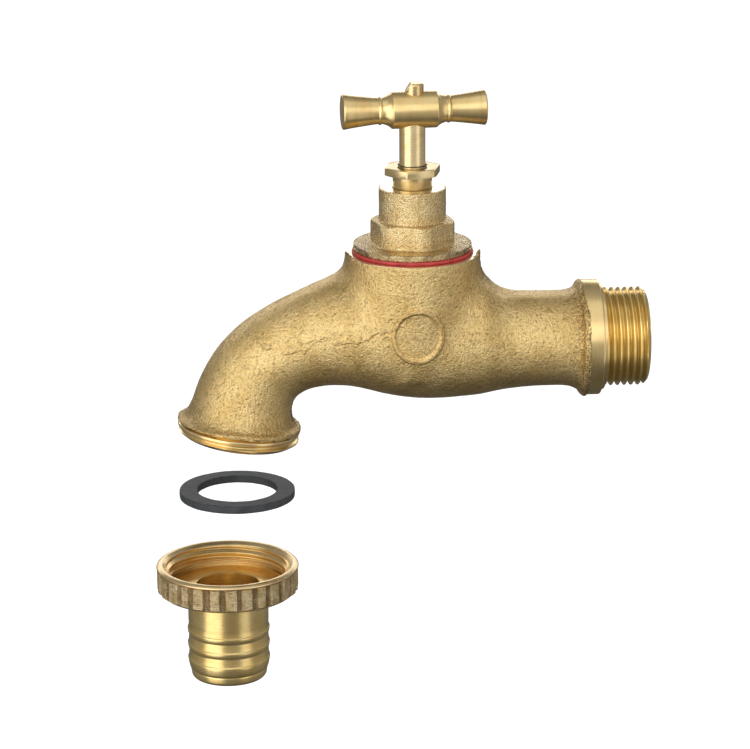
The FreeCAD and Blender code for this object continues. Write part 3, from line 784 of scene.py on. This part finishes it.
def cast_body(material):
    """The casting's skin and passages, without the machined inlet and outlet."""
    obj = copy_node("body_casting", "cast_body", material)
    cut_away(obj, box_piece((INLET_CUT, -30, -30), (20, 30, 30)))
    below = box_piece((-30, -30, 0), (30, 30, 20))
    lay(below, OUTLET_CENTRE, OUTLET_AXIS, OUTLET_SIDE)
    cut_away(obj, below)
    remesh(obj, SKIN_GRID)
    mesh = obj.data
    points = points_of(mesh)
    keep = step(NECK_TOP - points[:, 2], 0.6, 2.2)
    keep *= 0.2 + 0.8 * step(-past_outlet_end(points), 0.6, 4.0)
    even_out(mesh, step(-ring_distance(points), -2.4, -1.4), 60)
    fill_hollows(mesh, keep, 80)
    even_out(mesh, np.clip(keep, 0.1, 1), 4)
    points = points_of(mesh)
    refine(obj, (np.abs(ring_distance(points)) < 1.9) | (cold_laps(points)[0] < 1.3), 2)
    points = points_of(mesh)
    from_detail = np.minimum(np.abs(ring_distance(points)), cold_laps(points)[0])
    even_out(mesh, near(from_detail, 1.2, 1.9), 4)
    shape_skin(mesh)
    smooth(obj, 70)
    dress(obj, "tap_body", "cast_brass", "body_casting")


def rough_places(points, past_end):
    """Where a cut-off fin left a scar on the neck and the spout, and how rough the skin is all over."""
    middle = points[:, 1] + 1.5
    neck = near(middle, 1.6, 3.4) * step(points[:, 0], -35.5, -34) * step(points[:, 2], 15, 17)
    spout = near(middle, 2, 4) * step(past_end, -9, -6) * step(points[:, 0], -88, -85)
    scar = np.maximum(neck, spout)
    flares = [0.8 * near(past_end + 1.6, 0.8, 3.4), step(points[:, 0], -10.5, -7.0)]
    spots = [strength * spot(points, place, size) for place, size, strength in ROUGH_SPOTS]
    return scar, np.maximum.reduce([1.3 * scar] + flares + spots)


def skin_rise(points, small, rough, laps, above):
    """How far the skin stands out: its lumps and grain, the raised ring and the steps of the cold laps."""
    rise = 0.07 * waves(points, 7.0) + (0.028 + 0.11 * rough) * small + 0.04 * rough * waves(points, 0.55)
    ring = ring_distance(points) + 0.12 * small
    rise += 0.5 * near(ring, RING_BAND - 0.42, RING_BAND + 0.1) - 0.08 * step(-ring, 0.3, 1.2)
    groove = step(-laps - 0.22 * waves(points, 0.6), -0.32, -0.05)
    ledge = near(laps, 0.3, 1.9) * step(above + 0.1 * small, -0.08, 0.15)
    broken = step(waves(points, 1.8, 1), -0.35, 0.15)
    return rise + broken * (0.12 * ledge - 0.09 * groove)


def raise_fins(points, before, small):
    """Levels the neck's top and pulls thin fins up at its outer edge. Gives the points that stand in one.
    The places before the skin was raised say which points belong to the edge."""
    around = np.arctan2(before[:, 1], before[:, 0] - VALVE_X)
    from_valve = np.hypot(before[:, 0] - VALVE_X, before[:, 1])
    edge = (before[:, 2] > NECK_EDGE) * (from_valve > 16.9)
    fins = np.zeros(len(points))
    for angle, width, height in FINS:
        fins = np.maximum(fins, height * np.maximum(1 - np.abs(np.degrees(around) - angle) / width, 0))
    level = NECK_TOP + 0.02 + 0.04 * small
    points[:, 2] = np.where(points[:, 2] > NECK_FACE, np.minimum(points[:, 2], level), points[:, 2])
    lift = edge * step(points[:, 2], NECK_EDGE, NECK_TOP - 0.1) * step(from_valve, 17.0, 17.6)
    points[:, 2] += lift * fins
    away = np.stack([np.cos(around), np.sin(around)], 1)
    points[:, :2] += away * (lift * fins * np.where(points[:, 0] < VALVE_X, 0.4, 0.1))[:, None]
    return lift * (fins > 0.25)


def grow_inlet_lip(points):
    """Draws the casting's ragged lip out over the inlet's collar. Gives the old distances from the axis."""
    from_axis = np.hypot(points[:, 1], points[:, 2])
    height = points[:, 2] / np.maximum(from_axis, 1)
    top, foot = step(height, 0.55, 0.9), step(-height, 0.55, 0.9)
    along = points[:, 0]
    lip = (1 - top - foot) * np.interp(along, *zip(*SIDE_LIP))
    lip += top * np.interp(along, *zip(*TOP_LIP))
    lip += foot * np.interp(along, *zip(*LOW_LIP))
    lip += 0.09 * waves(points, 1.6)
    lip = np.where(along > -4.7 - 0.85 * top, 0, lip)
    outer = (from_axis > np.where(along > -5.3, 14.7, 12.5)) & (along > -7.5)
    grown = np.where(outer, np.maximum(from_axis, lip), from_axis)
    points[:, 1:] *= (grown / np.maximum(from_axis, 1))[:, None]
    return from_axis


def shape_outlet_edge(points, past_end):
    """Grows the casting's edge out over the turned rim, drops it at the sides and sinks its left shoulder.
    Gives how far each point lies to the right, and the shoulder that is left to be smoothed."""
    axis = np.array(OUTLET_AXIS)
    beside = points - np.array(OUTLET_CENTRE)
    beside -= np.outer(beside @ axis, axis)
    from_centre = np.linalg.norm(beside, axis=1)
    length = np.maximum(from_centre, 1)
    right = beside @ np.array(OUTLET_SIDE) / length
    front = -beside[:, 1] / length
    bead = 0.25 * step(-right, 0.85, 1.0) * np.exp(-((past_end + 0.9) / 0.35) ** 2)
    radius = 16.5 + 0.14 * waves(points, 1.5) + bead
    out = step(past_end, -1.5, -0.9) * step(from_centre, 14.9, 15.5) * np.maximum(radius - from_centre, 0)
    points += beside / length[:, None] * out[:, None]
    drop = 0.12 * waves(points, 2.2) + 0.45 * (1 - step(front, 0.3, 0.95)) + 0.25 * step(right, 0.1, 0.6)
    edge = step(past_end, -0.8, -0.1) * step(from_centre, 15.6, 16.2)
    points += np.outer(edge * drop, axis)
    sink = 0.9 * step(-right, 0.1, 0.9) * step(past_end, -4.0, -2.2) * step(-past_end, -0.2, 0.9)
    points += np.outer(sink * step(from_centre, 11.6, 15.6), axis)
    shoulder = step(-right, 0.2, 0.7) * near(past_end + 3.0, 1.2, 2.4)
    return right, shoulder * step(from_centre, 10.5, 12.0)


def shape_skin(mesh):
    """Gives the casting its lumps, ring, cold laps, fins and ragged flares, and marks its stains and its
    painted shade.
    """
    before = points_of(mesh)
    past_end = past_outlet_end(before)
    small = waves(before, 1.1)
    scar, rough = rough_places(before, past_end)
    laps, above = cold_laps(before)
    rise = np.where(before[:, 2] > NECK_FACE, 0, skin_rise(before, small, rough, laps, above))
    points = before + normals_of(mesh) * rise[:, None]
    finned = raise_fins(points, before, small)
    from_axis = grow_inlet_lip(points)
    right, shoulder = shape_outlet_edge(points, past_end)
    set_points(mesh, points)
    even_out(mesh, shoulder, 16)
    along = points[:, 0]
    store(mesh, "cold_line", np.where(laps < 3, laps, 3.0))
    # Stains on the fin scars, the fins and a rough patch; painted shade round the outlet's end and its sunk
    # left shoulder, and by the inlet's flare and collar lip
    store(mesh, "stain_and_shade", np.maximum.reduce([
        0.7 * near(past_end + 1.5, 0.5, 4.5),
        0.9 * step(-right, 0.5, 0.9) * near(past_end + 3, 1, 2.6),
        0.95 * step(along, -12.5, -7),
        step(along, -8.5, -6.2) * step(-from_axis, -15.6, -14.8),
        1.3 * scar,
        1.5 * finned,
        0.7 * spot(points, (-69.0, 16.5), 4.5),
    ]))


# The machined parts of the casting

def neck_facing(material):
    """The bright ring that the gasket lies on, faced on the neck."""
    face, foot = NECK_TOP + 0.05, NECK_TOP - 0.8
    profile = [(15.7, foot), (17.5, foot), (17.93, face - 0.06), (17.88, face), (16.2, face),
               (16.2, face - 0.08), (15.7, face - 0.08)]
    obj = turn_piece("neck_facing", profile, material, rounding=0.05)
    settle(obj, VALVE, 35, "tap_body", "turned_brass")


def inlet_thread(materials, thread):
    """The machined inlet: collar, step ring and a thread of 3/4 inch, about +X."""
    bore, step_ring, end, back = 9.47, 14.2, 11.7, -5.8
    profile = [
        (bore, -5.2), (bore, end - 0.6), (10.1, end), (12.12, end), (INLET_CREST, 10.6), (INLET_CREST, 0.0),
        (step_ring, 0.0), (step_ring, -1.0), (COLLAR_RADIUS, -1.05, 0.35), (COLLAR_RADIUS, back),
        (14.0, back), (14.0, -5.2),
    ]
    obj = turn_piece("inlet_thread", profile, materials["collar brass"], around=192, rounding=0.22,
                     band=(0.02, 11.6, 11.9, 13.4), spacing=0.09, mark="cut")
    cut_thread(obj, thread, INLET_PITCH, depth=1.12, crest=INLET_CREST, low=-0.2, high=13.0, run_out=1.3,
               phase=-0.5, surface=materials["thread brass"])
    settle(obj, (0, 0, 0), 50, "tap_body", "turned_brass", axis=(1, 0, 0), side=(0, 1, 0))


def outlet_thread(material, thread):
    """The machined outlet rim with a short thread of 1 inch, about the outlet's axis."""
    bore, rim = 10.78, 16.35
    profile = [
        (bore, -1.0), (13.4, -1.0), (15.2, -0.2), (15.4, 0.02), (rim, 0.02), (rim, 3.0), (14.65, OUTLET_RIM),
        (11.3, OUTLET_RIM), (bore, 3.7),
    ]
    obj = turn_piece("outlet_thread", profile, material, around=192, rounding=0.2,
                     band=(0.04, 4.1, 14.7, 16.6), spacing=0.09, mark="cut")
    cut_thread(obj, thread, OUTLET_PITCH, depth=0.95, crest=OUTLET_CREST, low=-0.6, high=8.0, run_out=0.7,
               phase=OUTLET_PHASE, surface=material)
    settle(obj, OUTLET_CENTRE, 50, "tap_body", "turned_brass", axis=OUTLET_AXIS, side=OUTLET_SIDE)


# The bonnet and what turns in it

def bonnet(material):
    """The forged bonnet with its softened hexagon."""
    obj = copy_node("bonnet", "forged_bonnet", material)
    remesh(obj, BONNET_GRID)
    mesh = obj.data
    even_out(mesh, np.full(len(mesh.vertices), 0.5), 3)
    points = points_of(mesh)
    from_seam = points[:, 0] - VALVE_X - 0.6
    seam = near(from_seam, 0, 0.35) * (points[:, 1] < 0) * (points[:, 2] > 33.6)
    dents = 0.03 * waves(points, 3.0) + 0.012 * waves(points, 1.0) + 0.09 * seam
    away = np.hypot(points[:, 0] - VALVE_X, points[:, 1])
    dents *= (away > 8.0) * (points[:, 2] > 25.9)
    set_points(mesh, points + normals_of(mesh) * dents[:, None])
    # Dirt on the flange rim, and painted shade on the flange top beneath the hexagon
    rim = step(away, 14.8, 15.5) * (0.7 + 0.3 * waves(points, 1.5))
    flange = 0.35 * step(-points[:, 2], -28.2, -27.2) * step(away, 10.5, 12.0)
    store(mesh, "stain_and_shade", np.maximum(rim, flange))
    smooth(obj, 40)
    dress(obj, "tap_body", "forged_brass", "bonnet")


def bonnet_top(material):
    """The machined face on top of the bonnet's collar."""
    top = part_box("bonnet")[1].z / MM
    face = top + 0.02
    profile = [(5.35, top - 0.4), (8.7, top - 0.4), (8.7, top - 0.1), (8.45, face), (5.35, face)]
    obj = turn_piece("bonnet_top", profile, material, rounding=0.06)
    settle(obj, VALVE, 35, "tap_body", "turned_brass")


def gasket(material):
    """The red fibre ring under the bonnet's flange."""
    low, high = (corner.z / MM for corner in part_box("bonnet_gasket"))
    profile = [(13.0, low), (16.0, low), (16.05, (low + high) / 2), (15.98, high), (13.0, high)]
    obj = turn_piece("red_gasket", profile, material, rounding=0.2)
    settle(obj, VALVE, 50, "tap_body", "red_fibre", "bonnet_gasket")


def gland_nut(material):
    """The small hexagon nut with its edges broken."""
    obj = copy_node("gland_nut", "bright_gland_nut", material)
    bevel(obj, 0.12, 40)
    smooth(obj, 40)
    dress(obj, "tap_body", "turned_brass", "gland_nut")


def spindle(materials):
    """The spindle with a thin dark ring on it, and the peened tip that holds the handle."""
    brass = materials["spindle brass"]
    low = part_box("spindle")[0].z / MM
    seat, top, hollow_end = HANDLE_HEIGHT - 3.35, HANDLE_HEIGHT + 4.85, low + 10.6
    shaft, thread, bore, pin = 3.45, 5.0, 2.7, 2.2
    profile = [
        (bore, low), (4.6, low), (thread, low + 0.4), (thread, 30.0), (4.6, 30.3), (shaft, 30.3),
        (shaft, seat), (pin, seat), (pin, top), (0.0, top), (0.0, hollow_end), (bore, hollow_end),
    ]
    obj = turn_piece("bright_spindle", profile, brass, around=96, rounding=0.1)
    settle(obj, VALVE, 35, "spindle", "turned_brass", "spindle")
    profile = [(3.3, 48.2), (3.8, 48.2), (3.92, 48.32), (3.8, 48.45), (3.3, 48.45)]
    ring = turn_piece("spindle_ring", profile, materials["dark ring"], around=96, rounding=0.05)
    settle(ring, VALVE, 35, "spindle", "turned_brass")
    profile = [(0, -1.1), (2.5, -1.1), (2.5, 1.95), (2.2, 2.3), (0, 2.3)]
    tip = turn_piece("spindle_tip", profile, brass, around=64, rounding=0.2)
    slant = box_piece((-6, -4, -3), (0, 4, 6))
    lay(slant, (-2.45, 0, 0), (math.sin(TIP_SLOPE), 0, math.cos(TIP_SLOPE)),
        (math.cos(TIP_SLOPE), 0, -math.sin(TIP_SLOPE)))
    cut_away(tip, slant)
    bevel(tip, 0.14, 28)
    settle(tip, (VALVE_X + 0.5, 0, top), 30, "spindle", "turned_brass")


def tee_handle(material):
    """The turned cross bar: barrel, coves, beads and arms that widen to their ends."""
    half, shoulder, bead, barrel, cove = 19.0, 6.1, 9.1, 4.85, 3.45
    one_side = [
        (barrel, 0.0), (barrel, shoulder - 0.2), (4.65, shoulder), (4.2, shoulder + 0.55),
        (3.85, shoulder + 1.15), (3.6, shoulder + 1.85), (cove, bead - 0.5), (3.62, bead - 0.32),
        (3.75, bead), (3.62, bead + 0.32), (cove, bead + 0.5), (3.6, 11.0), (3.9, 13.5), (4.16, 15.5),
        (4.42, 17.3), (4.66, half - 0.3), (4.45, half), (0.0, half),
    ]
    profile = [(radius, -along) for radius, along in reversed(one_side[1:])] + one_side
    obj = turn_piece("turned_handle", profile, material, around=128, rounding=0.12)
    settle(obj, (VALVE_X + HANDLE_SHIFT, 0, HANDLE_HEIGHT), 30, "spindle", "turned_brass", "tee_handle",
           axis=HANDLE_LINE, side=(0, 0, -1))


# The hose union

def upright(name):
    """Where an upright node stands, its radius and its height."""
    low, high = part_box(name)
    place = ((low.x + high.x) / 2 / MM, 0, low.z / MM)
    return place, (high.x - low.x) / 2 / MM, (high.z - low.z) / MM


def hose_washer(material):
    """The black rubber ring, a little uneven as cut."""
    place, outer, thick = upright("hose_washer")
    bore = 10.8
    profile = [(bore, 0), (outer - 0.05, 0), (outer, thick / 2), (outer - 0.05, thick), (bore, thick)]
    obj = turn_piece("rubber_washer", profile, material, rounding=0.22, band=(-1, 3, 10, 16), spacing=0.5)
    points = points_of(obj.data)
    set_points(obj.data, points + normals_of(obj.data) * (0.035 * waves(points, 2.5))[:, None])
    settle(obj, place, 50, "hose_washer", "black_rubber", "hose_washer")


def union_nut(materials, thread, ribs):
    """The ribbed nut: turned rim, cast ribs, and a thread inside that fits the outlet's."""
    place, rim, height = upright("union_nut")
    under, bore, ribbed, inside = height - 1.2, 11.25, 18.4, 16.85
    profile = [
        (bore, 0.0, 0.2), (17.9, 0.0, 0.3), (ribbed, 0.5, 0.2), (ribbed, under - 0.05, 0.02),
        (rim - 0.35, under, 0.1), (rim, under + 0.35, 0.3), (rim - 0.1, height - 0.45, 0.3),
        (rim - 0.75, height, 0.4), (17.75, height, 0.12), (inside, height - 0.9, 0.15), (inside, 2.35, 0.05),
        (16.3, 2.3, 0.05), (16.25, 1.0, 0.1), (bore, 1.0, 0.15),
    ]
    obj = turn_piece("ribbed_nut", profile, materials["nut brass"], around=NUT_RIBS * 20, rounding=0.2,
                     band=(0.45, under, ribbed - 0.1, ribbed + 0.1), spacing=0.3, mark="grip")
    work(obj, ribs, {"Count": float(NUT_RIBS), "Rib radius": 19.2 * MM, "Root radius": 18.35 * MM,
                     "Share": 0.66, "Softness": 0.07, "Phase": 0.2, "Low": 0.5 * MM, "Foot": 0.45 * MM,
                     "Unevenness": 0.7, "Surface": materials["grip brass"]})
    tidy(obj)
    settle(obj, place, 40, "union_nut", "forged_brass", "union_nut")
    brass = materials["nut thread brass"]
    crest, wall, start, end = 15.83, 17.1, 2.5, 7.0
    lining = turn_piece("nut_thread", [(crest, start), (wall, start), (wall, end), (crest, end)], brass,
                        around=192, rounding=0.0, band=(2.4, 7.1, 15.7, 15.9), spacing=0.07, mark="cut")
    cut_thread(lining, thread, OUTLET_PITCH, depth=0.98, crest=crest, low=start, high=end, run_out=0.8,
               phase=0.5 - SEATED_REACH / OUTLET_PITCH - OUTLET_PHASE, surface=brass, side=-1.0, ends=1.0)
    settle(lining, place, 50, "union_nut", "forged_brass")


def hose_tail(material):
    """The barbed tail with its flange, which the nut holds."""
    low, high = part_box("hose_tail")
    top, end = high.z / MM, low.z / MM
    bore, flange, shank = 8.6, 15.9, 10.95
    crests = [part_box("union_nut")[0].z / MM - SHANK - BARB_PITCH * index for index in range(BARB_COUNT)]
    profile = [(bore, top), (flange, top), (flange, top - 0.9), (shank, top - 0.9), (shank, crests[0] + 2.4)]
    for crest in crests:
        profile += [(10.88, crest + 2.0), (10.98, crest + 0.38, 0.05), (11.22, crest + 0.12, 0.05),
                    (11.22, crest - 0.1, 0.05), (11.1, crest - 0.9), (10.86, crest - 1.5),
                    (10.84, crest - 1.9)]
    profile = profile[:-2] + [(10.8, crest - 2.4), (10.6, crest - 2.8), (10.45, crest - 2.9),
                              (10.5, crest - 3.15), (10.25, end + 0.4), (9.8, end - 0.2), (bore, end - 0.2)]
    obj = turn_piece("barbed_tail", profile, material, around=160, rounding=0.25)
    heights = points_of(obj.data)[:, 2]
    # A band above each barb's crest, darkened as painted shade by the tail's finish
    bands = [step(heights, crest + 0.3, crest + 0.6) * step(-heights, -crest - 2.6, -crest - 1.9)
             for crest in crests]
    store(obj.data, "valley_shade", np.max(bands, axis=0))
    settle(obj, ((low.x + high.x) / 2 / MM, 0, 0), 28, "hose_tail", "turned_brass", "hose_tail")


def hidden_nodes(materials):
    """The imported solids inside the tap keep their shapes."""
    finishes = {"packing_washer": "spindle brass", "gland_packing": "sealing ring",
                "valve_jumper": "spindle brass", "valve_washer": "black rubber",
                "washer_nut": "spindle brass"}
    for name, finish in finishes.items():
        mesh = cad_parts[name].data
        mesh.materials.clear()
        mesh.materials.append(materials[finish])


# The studio

def way_back(azimuth, elevation):
    """The direction from the tap to a camera or a light. Azimuth 0 is the front."""
    turn, rise = math.radians(azimuth), math.radians(elevation)
    return Vector((math.sin(turn) * math.cos(rise), -math.cos(turn) * math.cos(rise), math.sin(rise)))


def stand_camera():
    """The camera, a little to the left of the front and above it."""
    azimuth, roll = -4.38, math.radians(-0.27)
    film, focal_pixels, picture_pixels = 36, 3200, 750
    target, distance = Vector((-60.96, 0, -9.02)) * MM, 857.25 * MM
    back = way_back(azimuth, 16.57)
    right = Vector((math.cos(math.radians(azimuth)), math.sin(math.radians(azimuth)), 0))
    up = back.cross(right)
    right, up = math.cos(roll) * right + math.sin(roll) * up, math.cos(roll) * up - math.sin(roll) * right
    data = bpy.data.cameras.new("camera")
    data.sensor_width = film
    data.lens = film * focal_pixels / picture_pixels
    data.clip_start, data.clip_end = 0.05, 20
    camera = new_thing("camera", data)
    turn = Matrix((right, up, back)).transposed().to_4x4()
    camera.matrix_world = Matrix.Translation(target + back * distance) @ turn
    bpy.context.scene.camera = camera


def softbox(name, azimuth, elevation, distance, width, height, brightness):
    """A large soft light that looks at the tap from the given side, in metres."""
    back = way_back(azimuth, elevation)
    data = bpy.data.lights.new(name, "AREA")
    data.shape = "RECTANGLE"
    data.size, data.size_y = width, height
    data.energy = brightness * math.pi * width * height
    light = new_thing(name, data)
    light.location = Vector((-55, 0, -5)) * MM + back * distance
    light.rotation_mode = "QUATERNION"
    light.rotation_quaternion = back.to_track_quat("Z", "Y")
    light.visible_camera = False


def light_world():
    """White behind the tap, and for its reflections a dim room, darker below and behind the camera."""
    world = bpy.data.worlds.new("studio")
    bpy.context.scene.world = world
    world.use_nodes = True
    tree = world.node_tree
    seen = add(tree, "ShaderNodeLightPath").outputs["Is Camera Ray"]
    toward = add(tree, "ShaderNodeSeparateXYZ", {0: add(tree, "ShaderNodeTexCoord").outputs["Generated"]})
    room = times(ramp(toward.outputs["Z"], -0.9, -0.1, 0.10, 0.38),
                 ramp(toward.outputs["Y"], 0.2, 0.95, 1.0, 0.5))
    background = tree.nodes["Background"].inputs
    put_in(background["Color"], (1, 1, 1, 1))
    put_in(background["Strength"], larger(seen, room))


def lay_floor():
    """The pale floor, which glows softly and throws nothing back at the tap."""
    wide, near_edge, far_edge, level = 4, -3, 6, -0.16
    corners = [(-wide, near_edge, level), (wide, near_edge, level), (wide, far_edge, level),
               (-wide, far_edge, level)]
    material = bpy.data.materials.new("pale floor")
    material.use_nodes = True
    inputs = material.node_tree.nodes["Principled BSDF"].inputs
    inputs["Base Color"].default_value = (0.2, 0.2, 0.2, 1)
    inputs["Roughness"].default_value = 0.9
    inputs["Emission Color"].default_value = (1, 1, 1, 1)
    inputs["Emission Strength"].default_value = 1.0
    floor = new_object("floor", corners, [(0, 1, 2, 3)], [material])
    floor.visible_glossy = False
    floor.visible_shadow = False


stand_camera()
light_world()
softbox("left softbox", -48, 0, 1.3, 1.2, 2.2, 1.55)
softbox("right softbox", 46, 2, 1.3, 0.7, 2.0, 0.75)
softbox("front softbox", -6, 26, 1.25, 1.5, 0.85, 1.04)
softbox("high softbox", -6, 70, 1.2, 1.4, 1.1, 0.48)
softbox("back strip", 178, 17, 1.2, 1.8, 0.3, 2.3)
lay_floor()
bpy.context.scene.view_settings.view_transform = "Standard"

materials = make_materials()
thread, ribs = thread_tree(), rib_tree()

cast_body(materials["cast brass"])
neck_facing(materials["faced brass"])
inlet_thread(materials, thread)
outlet_thread(materials["outlet brass"], thread)
bonnet(materials["forged brass"])
bonnet_top(materials["faced brass"])
gasket(materials["red fibre"])
gland_nut(materials["gland nut brass"])
spindle(materials)
tee_handle(materials["handle brass"])
hose_washer(materials["black rubber"])
union_nut(materials, thread, ribs)
hose_tail(materials["tail brass"])
hidden_nodes(materials)
